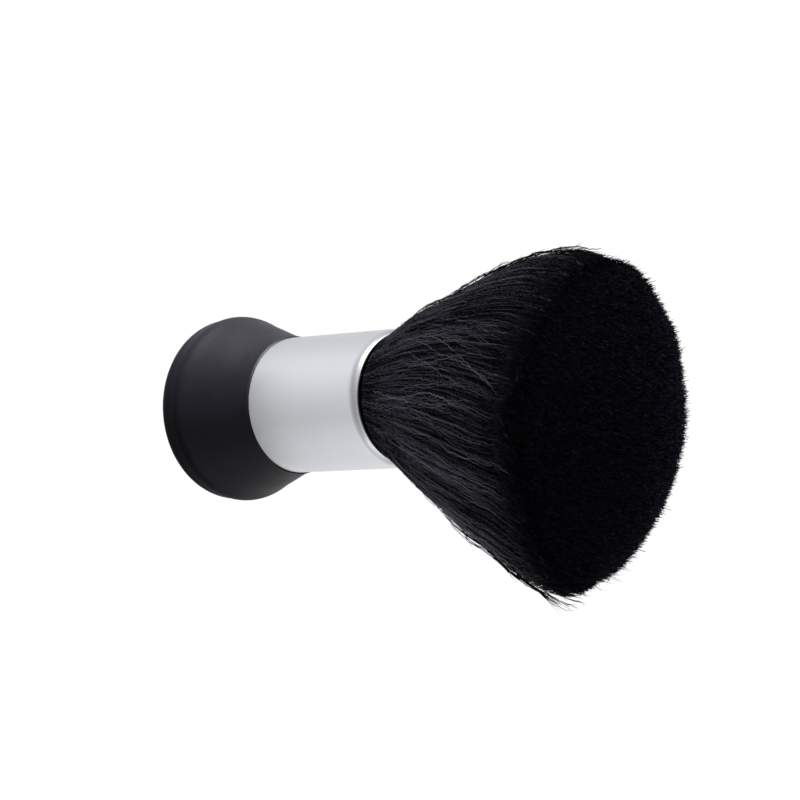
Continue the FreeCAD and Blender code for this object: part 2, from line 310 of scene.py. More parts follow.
def azimuth(nt, vector):
    """Azimuth of the vector about Z as 0 to 1 over -180 to 180 degrees, and its Z."""
    xyz = add(nt, "SeparateXYZ", Vector=vector)
    angle = maths(nt, "ARCTAN2", xyz.outputs["Y"], xyz.outputs["X"])
    return maths(nt, "MULTIPLY_ADD", angle, 1 / TAU, 0.5), xyz.outputs["Z"]


def coords(nt, stretch=1):
    """Object coordinates, with Z multiplied by the stretch."""
    source = add(nt, "TexCoord").outputs["Object"]
    return add(nt, "Mapping", Vector=source, Scale=(1, 1, stretch)).outputs["Vector"]


def noise(nt, vector, **values):
    return add(nt, "TexNoise", Vector=vector, **values).outputs["Fac"]


# --------------------------------------------------------------- materials
def new_material(name):
    material = bpy.data.materials.new(name)
    material.use_nodes = True
    nt = material.node_tree
    return material, nt, nt.nodes["Principled BSDF"]


def set_inputs(node, values):
    for key, value in values.items():
        node.inputs[key].default_value = value


def set_roughness(nt, bsdf, source, rough):
    node = add(nt, "MapRange", Value=source, **{"To Min": rough[0], "To Max": rough[1]})
    nt.links.new(node.outputs["Result"], bsdf.inputs["Roughness"])


def set_bump(nt, bsdf, source, strength, distance):
    node = add(nt, "Bump", Strength=strength, Distance=distance, Height=source)
    nt.links.new(node.outputs["Normal"], bsdf.inputs["Normal"])


def hair(name, dark, light, rough, specular, ior=1.55, tint=(0.80, 0.78, 1.0)):
    """Coloured from dark to light by the fibres' shade plus a little noise."""
    material, nt, bsdf = new_material(name)
    shade = add(nt, "Attribute", attribute_name="shade").outputs["Fac"]
    speckle = noise(nt, coords(nt, stretch=0.12), Scale=900.0, Detail=2.0)
    share = 0.35
    level = maths(nt, "MULTIPLY_ADD", speckle, share, shade)
    colour = ramp(nt, [(0.0, dark), (1.2 / (1 + share), light)], level)
    nt.links.new(colour, bsdf.inputs["Base Color"])
    set_inputs(bsdf, {"Roughness": rough, "Specular IOR Level": specular,
                      "Specular Tint": (*tint, 1), "IOR": ior})
    return material


def plastic(name, dark, light, rough, bump, grain, specular=0.5):
    """Fine grain in the bump; broad patches in colour and roughness. Bump in metres."""
    material, nt, bsdf = new_material(name)
    vector = coords(nt)
    fine = noise(nt, vector, Scale=grain, Detail=3.0, Roughness=0.6)
    broad = noise(nt, vector, Scale=grain / 22.0, Detail=4.0, Roughness=0.55)
    nt.links.new(ramp(nt, [(0.3, dark), (0.75, light)], broad), bsdf.inputs["Base Color"])
    set_roughness(nt, bsdf, broad, rough)
    set_bump(nt, bsdf, fine, strength=0.35, distance=bump)
    set_inputs(bsdf, {"Specular IOR Level": specular})
    return material


def metal(name, base, rough, stretch, bump, grain):
    """Grain stretched around the piece, in bump and roughness; broad patches in colour."""
    material, nt, bsdf = new_material(name)
    set_inputs(bsdf, {"Metallic": 1.0})
    streaks = noise(nt, coords(nt, stretch), Scale=grain, Detail=4.0, Roughness=0.6)
    broad = noise(nt, coords(nt), Scale=70.0, Detail=3.0)
    dark = tuple(c * 0.965 for c in base)
    nt.links.new(ramp(nt, [(0.25, dark), (0.75, base)], broad), bsdf.inputs["Base Color"])
    set_roughness(nt, bsdf, streaks, rough)
    set_bump(nt, bsdf, streaks, strength=0.25, distance=bump)
    return material


def assign(ob, material):
    if len(ob.material_slots):
        for slot in ob.material_slots:
            slot.material = material
    else:
        ob.data.materials.append(material)


# The bristles are one black fibre. SHINE, MID, SATIN, DULL and DEEP are lighter and darker copies of
# its colour, with their gloss stepping down too: the lighter colours are painted highlight on fibres
# at the top, the darker ones painted shade on fibres lower in the bundle.
SHINE = hair("bristle_shine_mat", dark=(0.0020, 0.0019, 0.0030), light=(0.0130, 0.0122, 0.0185),
             rough=0.28, specular=1.0, ior=2.00)
# STRAY is lighter still: painted highlight on the single fibres that cross the others.
STRAY = hair("bristle_stray_mat", dark=(0.006, 0.0057, 0.008), light=(0.030, 0.029, 0.039),
             rough=0.28, specular=1.0, ior=2.1)
MID = hair("bristle_mid_mat", dark=(0.0010, 0.0009, 0.0016), light=(0.0060, 0.0056, 0.0090),
           rough=0.30, specular=0.36)
SATIN = hair("bristle_satin_mat", dark=(0.0006, 0.0005, 0.0010), light=(0.0030, 0.0028, 0.0046),
             rough=0.36, specular=0.08)
DULL = hair("bristle_dull_mat", dark=(0.0005, 0.0005, 0.0009), light=(0.0016, 0.0015, 0.0026),
            rough=0.50, specular=0.04)
DEEP = hair("bristle_deep_mat", dark=(0.0003, 0.0003, 0.0006), light=(0.0010, 0.0009, 0.0017),
            rough=0.70, specular=0.02)
TIP = hair("bristle_tip_mat", dark=(0.0003, 0.0002, 0.0008), light=(0.0042, 0.0034, 0.0082),
           rough=0.52, specular=0.25, tint=(0.7, 0.62, 1.0))
GLINT = hair("bristle_glint_mat", dark=(0.0014, 0.0012, 0.0030), light=(0.0080, 0.0072, 0.0140),
             rough=0.32, specular=0.70, tint=(0.80, 0.75, 1.0))
# EDGE is a darker copy of TIP: painted shade on the rounded edge between side and dome.
EDGE = hair("bristle_edge_mat", dark=(0.0003, 0.0002, 0.0007), light=(0.0030, 0.0025, 0.0056),
            rough=0.55, specular=0.11, tint=(0.7, 0.62, 1.0))
# CORE is near black, darker than the fibres: painted shade of the bundle's inside, under the fibres
# and in the sleeve.
CORE = plastic("bristle_core_mat", dark=(0.0003, 0.0003, 0.0006), light=(0.0008, 0.0007, 0.0013),
               rough=(0.80, 0.95), bump=0.0004, grain=1400.0, specular=0.04)
KNOB = plastic("knob_mat", dark=(0.0036, 0.0034, 0.0056), light=(0.0046, 0.0044, 0.0068),
               rough=(0.42, 0.48), bump=0.00003, grain=5200.0, specular=0.10)
set_inputs(KNOB.node_tree.nodes["Principled BSDF"], {
    "Sheen Weight": 0.16, "Sheen Roughness": 0.12, "Sheen Tint": (0.85, 0.90, 1.0, 1)})
COVER = plastic("cover_mat", dark=(0.010, 0.010, 0.012), light=(0.016, 0.016, 0.018),
                rough=(0.55, 0.65), bump=0.00006, grain=4200.0, specular=0.4)
PLUG = plastic("plug_mat", dark=(0.55, 0.55, 0.52), light=(0.62, 0.62, 0.60),
               rough=(0.45, 0.55), bump=0.00004, grain=3000.0)
CUP = plastic("cup_mat", dark=(0.03, 0.03, 0.03), light=(0.05, 0.05, 0.05),
              rough=(0.5, 0.6), bump=0.00004, grain=3000.0)
RESIN = plastic("resin_mat", dark=(0.40, 0.24, 0.08), light=(0.50, 0.33, 0.13),
                rough=(0.12, 0.22), bump=0.00008, grain=700.0)
CORD = plastic("cord_mat", dark=(0.62, 0.56, 0.46), light=(0.78, 0.72, 0.62),
               rough=(0.85, 0.95), bump=0.0003, grain=5000.0, specular=0.2)
SLEEVE = metal("sleeve_mat", base=(0.80, 0.82, 0.86), rough=(0.29, 0.34), stretch=14,
               bump=0.00001, grain=2600.0)
STEEL = metal("steel_mat", base=(0.56, 0.56, 0.58), rough=(0.25, 0.40), stretch=6,
              bump=0.00002, grain=1500.0)
BRASS = metal("brass_mat", base=(0.80, 0.62, 0.30), rough=(0.25, 0.40), stretch=6,
              bump=0.00002, grain=1500.0)

for node_name, node_material in {
    "knob_shell": KNOB, "base_cover": COVER, "ballast_disc": STEEL, "fixing_screw": STEEL,
    "screw_washer": STEEL, "threaded_insert": BRASS, "core_plug": PLUG, "ferrule": SLEEVE,
    "bristle_cup": CUP, "resin_plug": RESIN, "binding_cord": CORD,
}.items():
    assign(NODES[node_name], node_material)


# ------------------------------------------------------------ core and root
def soft(ob, material):
    """Gives a piece its material and bakes its transform into the mesh."""
    assign(ob, material)
    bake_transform(ob)
    return ob


def build_core():
    """Dense inside of the bundle: one closed fluted surface a little under the fibres."""
    count = 360
    u = np.arange(count) * TAU / count
    rg = np.random.default_rng(5)
    flutes = np.zeros(count)
    for waves in (23, 41, 67, 97, 131):
        flutes += np.sin(waves * u + rg.uniform(0, TAU)) / math.sqrt(5)
    flute_depth, top_rho, top_s = 0.012, 0.90, 0.94
    rows = []
    for s in np.linspace(-0.02, top_s, 40):
        rho = 0.945 - 0.045 * smooth(0, 0.3, s)
        rows.append(place(s, u, rho * (1 + flute_depth * flutes * smooth(0, 0.25, s))))
    for q in np.linspace(0, 1, 26)[1:-1]:
        rho = top_rho * math.cos(q * math.pi / 2)
        s = top_s + 0.027 * math.sin(q * math.pi / 2)
        rows.append(place(s, u, rho * (1 + flute_depth * flutes * rho)))
    return closed_rings("bristle_core", rows[0].mean(0), rows, place(0.967, 0.0, 0.0))


# Bundle of roots inside the sleeve: radius, z.
ROOT_PROFILE = [
    (14.6, 54.45), (14.8, 54.8), (14.8, 58), (14.75, 62.8), (15.6, 65.0), (16.25, 66.8),
    (16.25, 68.3), (16.6, 70.0), (16.85, 71.6), (16.9, 73.6), (16.5, 74.3), (14, 74.5)]
ROOT_BOTTOM_Z, ROOT_TOP_Z = 54.45, 74.6


def build_root():
    """Fluted solid of revolution."""
    count = 420
    a = np.arange(count) * TAU / count
    rows = []
    for radius, z in ROOT_PROFILE:
        flute = 0.10 * np.sin(95 * a + 0.3 * z) + 0.07 * np.sin(151 * a + 1.7 - 0.2 * z)
        r = radius + flute
        rows.append(np.stack([r * np.cos(a), r * np.sin(a), np.full(count, z)], -1))
    return closed_rings("bristle_root_bundle", (0, 0, ROOT_BOTTOM_Z), rows, (0, 0, ROOT_TOP_Z))


# the core and root take the near-black CORE colour: painted shade
core = soft(build_core(), CORE)
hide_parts("bristle_tuft")

root = build_root()
assign(root, CORE)
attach(root, "handle")
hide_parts("bristle_root")


# ---------------------------------------------------------- fibre helpers
# Each fibre function returns points (fibre, ring, xyz), radii and shade (fibre, ring).
# In them k runs 0 to 1 along a fibre and s is the height in the bundle, as in place().
def add_fibres(name, material, points, radii, shade):
    """Mesh objects name_01, name_02 ... that share the fibres."""
    count, rings = radii.shape
    triangles = 6 * (rings - 1) + 4
    pieces = int(math.ceil(count * triangles / PIECE_TRIANGLES))
    for i, part in enumerate(np.array_split(np.arange(count), pieces)):
        ob = fibre_mesh("%s_%02d" % (name, i + 1), points[part], radii[part], shade[part])
        soft(ob, material)


def thickness(rg, count, radius, jitter, taper):
    return radius * np.exp(rg.normal(0, jitter, count))[:, None] * taper


def crimp(rg, s, lock, amplitude, wavelength):
    """Sideways waves that neighbours in one lock roughly share."""
    count, locks = len(lock), int(lock.max()) + 1
    arc = s * FIBRE_LENGTH
    total = 0
    for tall, long in ((1.0, 1.0), (0.55, 0.58), (1.3, 3.1)):
        phase = rg.uniform(0, TAU, locks)[lock] + rg.normal(0, 0.6, count)
        wave = (wavelength * long * np.exp(rg.normal(0, 0.16, locks))[lock]
                * np.exp(rg.normal(0, 0.05, count)))
        total = total + tall * amplitude * np.sin(TAU * arc / wave[:, None] + phase[:, None])
    return total


# -------------------------------------------------------- fibres of the side
def side_fibres(seed, count, rings, rho, start, end, radius, amplitude, wavelength, drift,
                stray=0.0):
    """Fibres drawn into locks and smaller locks. rho and end are (low, high)."""
    rg = np.random.default_rng(seed)
    u0 = rg.uniform(0, TAU, count)
    n_lock, n_small = 170, 170 * 4
    shift_lock = rg.uniform(-0.3, 0.3, n_lock + 1)
    shift_small = rg.uniform(-0.3, 0.3, n_small + 1)
    lock = np.minimum((u0 / TAU * n_lock).astype(int), n_lock - 1)
    small = np.minimum((u0 / TAU * n_small).astype(int), n_small - 1)
    u_lock = (lock + 0.5 + shift_lock[lock]) / n_lock * TAU
    u_small = (small + 0.5 + shift_small[small]) / n_small * TAU
    k = np.linspace(0, 1, rings)[None, :]
    s = start + (rg.uniform(*end, count) - start)[:, None] * k
    # pull towards the middle of each lock, eased again near the ends
    pull_lock = 0.42 * smooth(0.04, 0.55, s) - 0.12 * smooth(0.75, 1.0, s)
    pull_small = 0.62 * smooth(0.05, 0.6, s) - 0.22 * smooth(0.8, 1.0, s)
    u = (u0[:, None] + (u_lock - u0)[:, None] * pull_lock
         + (u_small - u0)[:, None] * pull_small * (1 - pull_lock))
    drift_lock = rg.normal(0, drift, n_lock)[lock]
    drift_small = rg.normal(0, drift * 0.6, n_small)[small]
    drift_own = rg.normal(0, drift * 0.35, count) + stray * rg.normal(0, 1, count)
    u = u + (drift_lock + drift_small + drift_own)[:, None] * smooth(0.0, 1.1, s)
    depth = rg.uniform(0, 1, n_lock)[lock] * 0.5 + rg.uniform(0, 1, n_small)[small] * 0.5
    rho_top = rho[1] - (rho[1] - rho[0]) * np.clip(depth + rg.normal(0, 0.18, count), 0, 1)
    # fibres are packed at the mouth and spread out above it
    packed = (0.985 - 0.10 * rg.uniform(0, 1, count) ** 1.5)[:, None]
    open_ = smooth(0, 0.35, s)
    rho_at = packed * (1 - open_) + rho_top[:, None] * open_
    fade_in = smooth(0.0, 0.16, s)
    around = crimp(rg, s, small, amplitude, wavelength) * fade_in
    outward = (crimp(rg, s, small, amplitude * 0.55, wavelength * 1.1) * fade_in
               * smooth(0.05, 0.3, s))
    # ends part from their lock
    part = rg.normal(0, 1, (count, 2)) * 0.7
    around = around + part[:, :1] * smooth(0.7, 1.05, s) * 1.3
    outward = outward + part[:, 1:] * smooth(0.8, 1.05, s) * 0.6
    points = place(s, u, rho_at, around, outward)
    radii = thickness(rg, count, radius, 0.16, 1 - 0.75 * smooth(0.82, 1.0, k))
    # the fibres darken towards the rim: painted shade where the side turns into the dome
    shade = np.clip(rg.beta(1.6, 2.6, count)[:, None]
                    + rg.normal(0, 0.12, n_small)[small][:, None]
                    - 0.45 * smooth(0.75, 1.0, s), 0, 1)
    order = np.argsort(u0)
    return points[order], radii[order], shade[order]


# Crimp of the fine fibres: height in amplitudes, wavelength in mm, phase jitter in radians.
FINE_WAVES = ((1.75, 1.95, 0.35), (1.2, 3.5, 0.3), (1.1, 9.0, 0.12), (1.4, 24.0, 0.1))


def fine_fibres(seed, locks, rings, rho, radius, amplitude, end, spread, wander, past):
    """Crimped fibres side by side. rho is (low, high), end the lowest end; past lets the
    fibres near u = -2.70 run on beyond the rim, where they turn inward."""
    rg = np.random.default_rng(seed)
    lock_u = (np.arange(locks) + rg.uniform(-0.34, 0.34, locks)) / locks * TAU
    lock = np.repeat(np.arange(locks), rg.integers(1, 2, locks))    # one fibre in each
    count = len(lock)
    k = np.linspace(0, 1, rings)[None, :]
    far = 1.02 + past * near_angle(lock_u, -2.70, 0.62)
    stop = ((end + (far - end) * rg.uniform(0, 1, locks) ** 0.9)[lock]
            + rg.normal(0, 0.012, count))
    q = -0.045 + (stop + 0.045)[:, None] * k
    s = np.minimum(q, 1.0) + 0.008 * smooth(1.0, 1.04, q)
    curl = (0.02 * rg.uniform(0, 1, locks))[lock][:, None]
    u = lock_u[lock][:, None] + rg.normal(0, wander, locks)[lock][:, None] * smooth(0, 1.0, s)
    depth = rg.uniform(0, 1, locks)[lock] + rg.normal(0, 0.12, count)
    rho_top = rho[1] - (rho[1] - rho[0]) * np.clip(depth, 0, 1)[:, None]
    # one fibre in ten starts deeper and rises to the surface
    rise = (rg.uniform(0.0, 0.22, locks)[lock][:, None]
            * (rg.uniform(0, 1, locks) < 0.10)[lock][:, None])
    rho_low = 0.988 - 0.025 * rg.uniform(0, 1, count)[:, None]
    sunk = 0.05 * (1 - smooth(rise, rise + 0.16, s)) * (rise > 0) * smooth(-0.02, 0.06, s)
    rho_at = (rho_low + (rho_top - rho_low) * smooth(0, 0.3, s)
              - curl * smooth(0.9, 1.0, s) - sunk)
    turn = 0.6 * (2.79 * np.maximum(0.0, q - 1.0)) ** 1.6
    rho_at = np.where(q > 1.0, np.minimum(rho_at, 1.0 - turn), rho_at)
    arc = q * CRIMP_LENGTH
    fade_in = smooth(-0.01, 0.05, s) * (1.0 - 0.20 * smooth(0.45, 0.95, s))
    around, outward = 0.0, 0.0
    for tall, wavelength, jitter in FINE_WAVES:
        wave = (wavelength * np.exp(rg.normal(0, 0.13, locks))[lock]
                * np.exp(rg.normal(0, 0.012, count)))
        phase = rg.uniform(0, TAU, locks)[lock] + rg.normal(0, jitter, count)
        fade = 0.65 + 0.35 * np.sin(arc / 9.0 + rg.uniform(0, TAU, locks)[lock][:, None])
        angle = TAU * arc / wave[:, None] + phase[:, None]
        around = around + tall * amplitude * fade * np.sin(angle)
        share = 0.75 if wavelength < 8 else 0.60
        outward = outward + share * tall * amplitude * fade * np.sin(angle + 1.3)
    side = (rg.normal(0, spread, count)[:, None]
            + rg.normal(0, 0.10, count)[:, None] * smooth(0.2, 1.0, s))
    part = rg.normal(0, 1, (count, 2))
    points = place(s, u, rho_at,
                   around * fade_in + side + 0.7 * part[:, :1] * smooth(0.75, 1.05, s),
                   (outward - 0.5 * amplitude) * fade_in * smooth(0.01, 0.08, s)
                   + 0.35 * part[:, 1:] * smooth(0.8, 1.05, s))
    radii = thickness(rg, count, radius, 0.14, 1 - 0.6 * smooth(0.90, 1.0, k))
    # the fibres darken towards the rim: painted shade where the side turns into the dome
    shade = np.clip(rg.beta(1.5, 2.0, locks)[lock][:, None]
                    + rg.normal(0, 0.1, count)[:, None] - 0.4 * smooth(0.88, 1.0, s), 0, 1)
    return points, radii, shade


# under layer, a dull outer layer, then satin and shining fibres on top
points, radii, shade = side_fibres(
    seed=11, count=int(3600 * DENSITY), rings=20, rho=(0.89, 0.965), start=-0.045,
    end=(0.90, 1.02), radius=0.16, amplitude=0.22, wavelength=16.0, drift=0.020)
# the under layer is darkened again (shade * 0.6) on top of the dark DEEP colour: painted shade inside
# the bundle
add_fibres("bristles_under", DEEP, points, radii, shade * 0.6)
add_fibres("bristles_outer", DULL, *side_fibres(
    seed=12, count=int(2100 * DENSITY), rings=40, rho=(0.925, 0.985), start=-0.045,
    end=(0.88, 1.02), radius=0.125, amplitude=0.16, wavelength=9.0, drift=0.030))
add_fibres("bristles_satin", SATIN, *fine_fibres(
    seed=15, locks=int(680 * DENSITY), rings=110, rho=(0.966, 0.992), radius=0.074,
    amplitude=0.13, end=0.86, spread=0.10, wander=0.015, past=0.17))


def add_top_fibres():
    """One layer of fine fibres shared out between three materials by a mixed-up rank."""
    points, radii, shade = fine_fibres(
        seed=14, locks=int(780 * DENSITY), rings=215, rho=(0.988, 1.005), radius=0.055,
        amplitude=0.125, end=0.83, spread=0.07, wander=0.012, past=0.05)
    count = len(points)
    index = np.arange(count)
    scatter = 0.22 * np.random.default_rng(77).uniform(0, 1, count)
    rank = (index * 0.381966 + scatter) % 1.0
    # fewer shining fibres around u = -0.62: painted shade on that side of the bundle
    rank = np.minimum(rank + 0.24 * near_angle(index / count * TAU, -0.62, 0.36), 0.999)
    pair, shine, plain = rank < 0.10, rank < 0.36, rank >= 0.76
    mid = ~shine & ~plain
    # a second fibre close beside some of the shining ones
    add_fibres("bristles_shine_pair", SHINE, points[pair] + 0.10, radii[pair] * 0.9, shade[pair])
    add_fibres("bristles_shine", SHINE, points[shine], radii[shine] * 1.05, shade[shine])
    add_fibres("bristles_mid", MID, points[mid], radii[mid], shade[mid])
    add_fibres("bristles_plain", SATIN, points[plain], radii[plain], shade[plain])


add_top_fibres()

# loose fibres that cross the others, made lighter (shade + 0.35): painted highlight
points, radii, shade = side_fibres(
    seed=13, count=int(220 * DENSITY), rings=60, rho=(0.995, 1.012), start=-0.03,
    end=(0.60, 0.98), radius=0.070, amplitude=0.20, wavelength=7.5, drift=0.10, stray=0.12)
add_fibres("bristles_loose", SHINE, points, radii, shade + 0.35)


def fly_fibres(seed, count, rings):
    """Short ends that stand off the outline, fewer far out around u = -0.40."""
    rg = np.random.default_rng(seed)
    u0 = rg.uniform(0, TAU, count)
    k = np.linspace(0, 1, rings)[None, :]
    start = rg.uniform(0.25, 0.95, count)[:, None]
    end = np.minimum(start + rg.uniform(0.07, 0.20, count)[:, None], 1.05)
    s = start + (end - start) * k
    lift = 0.45 * rg.gamma(1.5, 1.0, count)[:, None] * k ** 1.5
    lift = lift * (1 - 0.75 * near_angle(u0, -0.40, 0.34))[:, None]
    side = rg.normal(0, 1.0, count)[:, None] * k ** 1.4
    wobble = 0.16 * np.sin(TAU * k * rg.uniform(0.6, 1.8, count)[:, None]
                           + rg.uniform(0, TAU, count)[:, None])
    points = place(s, u0[:, None], 0.985, side + wobble, np.minimum(lift, 2.6) + 0.5 * wobble)
    radii = thickness(rg, count, 0.075, 0.15, 1 - 0.7 * smooth(0.5, 1, k))
    return points, radii, rg.uniform(0.2, 0.9, count)[:, None] * np.ones_like(s)


add_fibres("bristles_fly", DULL, *fly_fibres(seed=21, count=int(1300 * DENSITY), rings=8))


# Where thin locks part: u from, u to, number, gap from, gap to (mm), highest end.
PARTINGS = [
    (0.0, TAU, int(44 * DENSITY), 0.7, 1.6, 1.03),
    (-0.50, 0.0, int(8 * DENSITY), 0.9, 1.6, 1.06),
    (3.05, 3.55, int(7 * DENSITY), 0.9, 1.6, 1.03)]


def parting_fibres(seed, rings):
    """Thin locks beside the bundle with air between, some ending past the rim."""
    rg = np.random.default_rng(seed)
    rows = [(u, near, far, last) for u_from, u_to, number, near, far, last in PARTINGS
            for u in rg.uniform(u_from, u_to, number)]
    lock_u, near, far, last = np.array(rows).T
    locks = len(rows)
    lock = np.repeat(np.arange(locks), rg.integers(1, 4, locks))
    count = len(lock)
    k = np.linspace(0, 1, rings)[None, :]
    start = rg.uniform(0.10, 0.62, locks)[lock][:, None]
    end = np.minimum(start + rg.uniform(0.35, 0.65, locks)[lock][:, None],
                     (last[lock] - 0.05 * rg.uniform(0, 1, count))[:, None])
    s = start + (end - start) * k
    gap = (near + (far - near) * rg.uniform(0, 1, locks))[lock][:, None]
    lift = gap * smooth(0, 0.40, k) + rg.normal(0, 0.12, count)[:, None] * smooth(0, 0.5, k)
    side = (rg.normal(0, 0.22, count)[:, None]
            + rg.normal(0, 0.8, locks)[lock][:, None] * k ** 1.5)
    phase = rg.uniform(0, TAU, locks)[lock][:, None]
    wobble = (0.08 * np.sin(TAU * s * CRIMP_LENGTH / 4.0 + phase)
              + 0.14 * np.sin(TAU * s * CRIMP_LENGTH / 9.0 + 2 * phase))
    points = place(s, lock_u[lock][:, None], 0.992, side + wobble, lift + 0.7 * wobble)
    radii = thickness(rg, count, 0.070, 0.15, 1 - 0.7 * smooth(0.8, 1, k))
    return points, radii, rg.uniform(0.1, 0.8, count)[:, None] * np.ones_like(s)


add_fibres("bristles_parting", DULL, *parting_fibres(seed=23, rings=44))

# Locks parted from the bundle: u at start, middle and end, s at start and end, gap (mm),
# number of fibres, outward splay near the rim (mm).
LOCKS = [
    (-0.44, -0.375, -0.325, 0.27, 0.74, 1.60, 6, 0), (-0.405, -0.345, -0.31, 0.42, 0.82, 2.00, 4, 0),
    (-0.36, -0.315, -0.29, 0.54, 1.00, 1.45, 7, 2.4), (-0.33, -0.29, -0.26, 0.68, 0.95, 1.80, 5, 2.0),
    (-0.30, -0.29, -0.28, 0.78, 1.04, 0.9, 7, 2.4), (-0.38, -0.36, -0.40, 0.76, 1.02, 1.2, 6, 1.8),
    (-0.20, -0.22, -0.24, 0.84, 1.06, 0.7, 7, 1.6), (-0.42, -0.38, -0.36, 0.34, 0.60, 2.30, 2, 0),
    (-0.10, -0.12, -0.14, 0.86, 1.05, 0.6, 7, 1.0), (-0.48, -0.44, -0.46, 0.74, 1.04, 1.0, 6, 1.6),
    (-2.86, -2.92, -2.96, 0.16, 0.52, 0.85, 6, 0), (-2.90, -2.96, -3.00, 0.32, 0.76, 1.05, 8, 0),
    (-2.96, -3.00, -3.04, 0.52, 0.97, 1.20, 8, 0), (-3.00, -3.04, -3.08, 0.68, 1.05, 1.60, 6, 0),
    (-2.94, -2.96, -2.98, 0.42, 0.66, 1.70, 3, 0), (-3.00, -3.05, -3.10, 0.86, 1.08, 1.0, 8, 0)]


def random_locks(seed, count):
    """More rows like those of LOCKS, all around the bundle."""
    rg = np.random.default_rng(seed)
    rows = []
    for _ in range(count):
        u = rg.uniform(0, TAU)
        start = rg.uniform(0.15, 0.7)
        rows.append((u, u + rg.normal(0, 0.04), u + rg.normal(0, 0.08),
                     start, min(start + rg.uniform(0.3, 0.6), 1.06),
                     rg.uniform(0.9, 1.8), int(rg.integers(2, 6)), rg.uniform(0, 1.5)))
    return rows


def lock_fibres(seed, locks, rings):
    rg = np.random.default_rng(seed)
    k = np.linspace(0, 1, rings)
    points, radii, shade = [], [], []
    for u0, u1, u2, s0, s1, gap, number, splay in locks:
        # parabola through the three angles
        u = u0 * (1 - k) * (1 - 2 * k) + 4 * u1 * k * (1 - k) + u2 * k * (2 * k - 1)
        phase = rg.uniform(0, TAU, 4)
        for _ in range(number):
            start, end = s0 + rg.normal(0, 0.015), s1 - 0.07 * abs(rg.normal(0, 1))
            s = start + (end - start) * k
            open_ = smooth(0.0, 0.22, k) * (1 + 0.18 * np.sin(TAU * s * 3.1 + phase[0]))
            spread = 0.12 + 0.22 * smooth(0.75, 1.0, k)
            lift = (gap * open_ + rg.normal(0, 1) * spread
                    + 0.45 * rg.normal(0, 1) * smooth(0.85, 1.0, k)
                    + splay * (0.7 + 0.5 * rg.uniform(0, 1)) * smooth(0.80, 1.02, s) ** 1.2)
            side = rg.normal(0, 1) * spread * 1.2
            jitter = rg.normal(0, 0.3)
            wobble = (0.07 * np.sin(TAU * s * CRIMP_LENGTH / 3.4 + phase[1] + jitter)
                      + 0.10 * np.sin(TAU * s * CRIMP_LENGTH / 8.0 + phase[2]))
            points.append(place(s, u, 0.995, side + wobble, lift + 0.7 * wobble))
            radii.append(0.068 * math.exp(rg.normal(0, 0.12)) * (1 - 0.7 * smooth(0.85, 1, k)))
            shade.append(np.full(rings, rg.uniform(0.1, 0.8)))
    return np.array(points), np.array(radii), np.array(shade)


add_fibres("bristles_locks", DULL, *lock_fibres(
    seed=51, locks=LOCKS + random_locks(seed=52, count=26), rings=64))

# Single fibres that cross the others: (s, u) points on the bundle's surface.
STRAY_PATHS = [
    [(0.20, -2.28), (0.36, -2.14), (0.53, -2.00), (0.71, -1.95), (0.88, -1.91), (0.95, -1.86)],
    [(0.34, -2.26), (0.46, -2.15), (0.62, -2.03), (0.76, -1.94), (0.86, -1.90)],
    [(0.28, -2.10), (0.39, -1.97), (0.58, -1.85), (0.74, -1.81)],
    [(0.10, -1.60), (0.32, -1.64), (0.49, -1.71), (0.62, -1.70), (0.74, -1.67)],
    [(0.08, -1.72), (0.26, -1.63), (0.45, -1.62), (0.66, -1.65)],
    [(0.12, -0.98), (0.30, -0.86), (0.52, -0.80), (0.70, -0.79)],
    [(0.15, -0.35), (0.40, -0.52), (0.66, -0.62), (0.86, -0.60)],
    [(0.10, 0.55), (0.35, 0.72), (0.60, 0.80), (0.85, 0.95)],
    [(0.20, 1.60), (0.45, 1.42), (0.70, 1.36), (0.90, 1.38)],
    [(0.12, 2.30), (0.38, 2.50), (0.64, 2.58), (0.84, 2.70)]]
MM_PER_S, MM_PER_U = 65, 30               # rough scale of s and u on the surface


def stray_fibres(seed, rings):
    rg = np.random.default_rng(seed)
    k = np.linspace(0, 1, rings)
    points, radii = [], []
    for path in STRAY_PATHS:
        path_s, path_u = np.array(path, float).T
        steps = np.hypot(np.diff(path_s) * MM_PER_S, np.diff(path_u) * MM_PER_U)
        length = np.concatenate([[0], np.cumsum(steps)])
        arc = k * length[-1]
        s = np.interp(arc, length, path_s)
        u = np.interp(arc, length, path_u)
        # round the corners of the path
        for _ in range(3):
            s[1:-1] = 0.5 * s[1:-1] + 0.25 * (s[:-2] + s[2:])
            u[1:-1] = 0.5 * u[1:-1] + 0.25 * (u[:-2] + u[2:])
        wave = (0.17 * np.sin(TAU * arc / 2.1 + rg.uniform(0, TAU))
                + 0.12 * np.sin(TAU * arc / 5.5 + rg.uniform(0, TAU)))
        # proud of the surface, with both ends tucked in
        rise = (0.25 + 0.35 * np.sin(math.pi * k) - 1.2 * smooth(0.12, 0.0, k)
                - 0.8 * smooth(0.9, 1.0, k))
        points.append(place(s, u, 1.006, wave, rise + 0.5 * wave))
        radii.append(0.088 * (1 - 0.5 * smooth(0.85, 1, k)))
    return np.array(points), np.array(radii), np.ones((len(points), rings))


# the crossing fibres take the lighter STRAY colour: painted highlight
add_fibres("bristles_stray", STRAY, *stray_fibres(seed=41, rings=150))


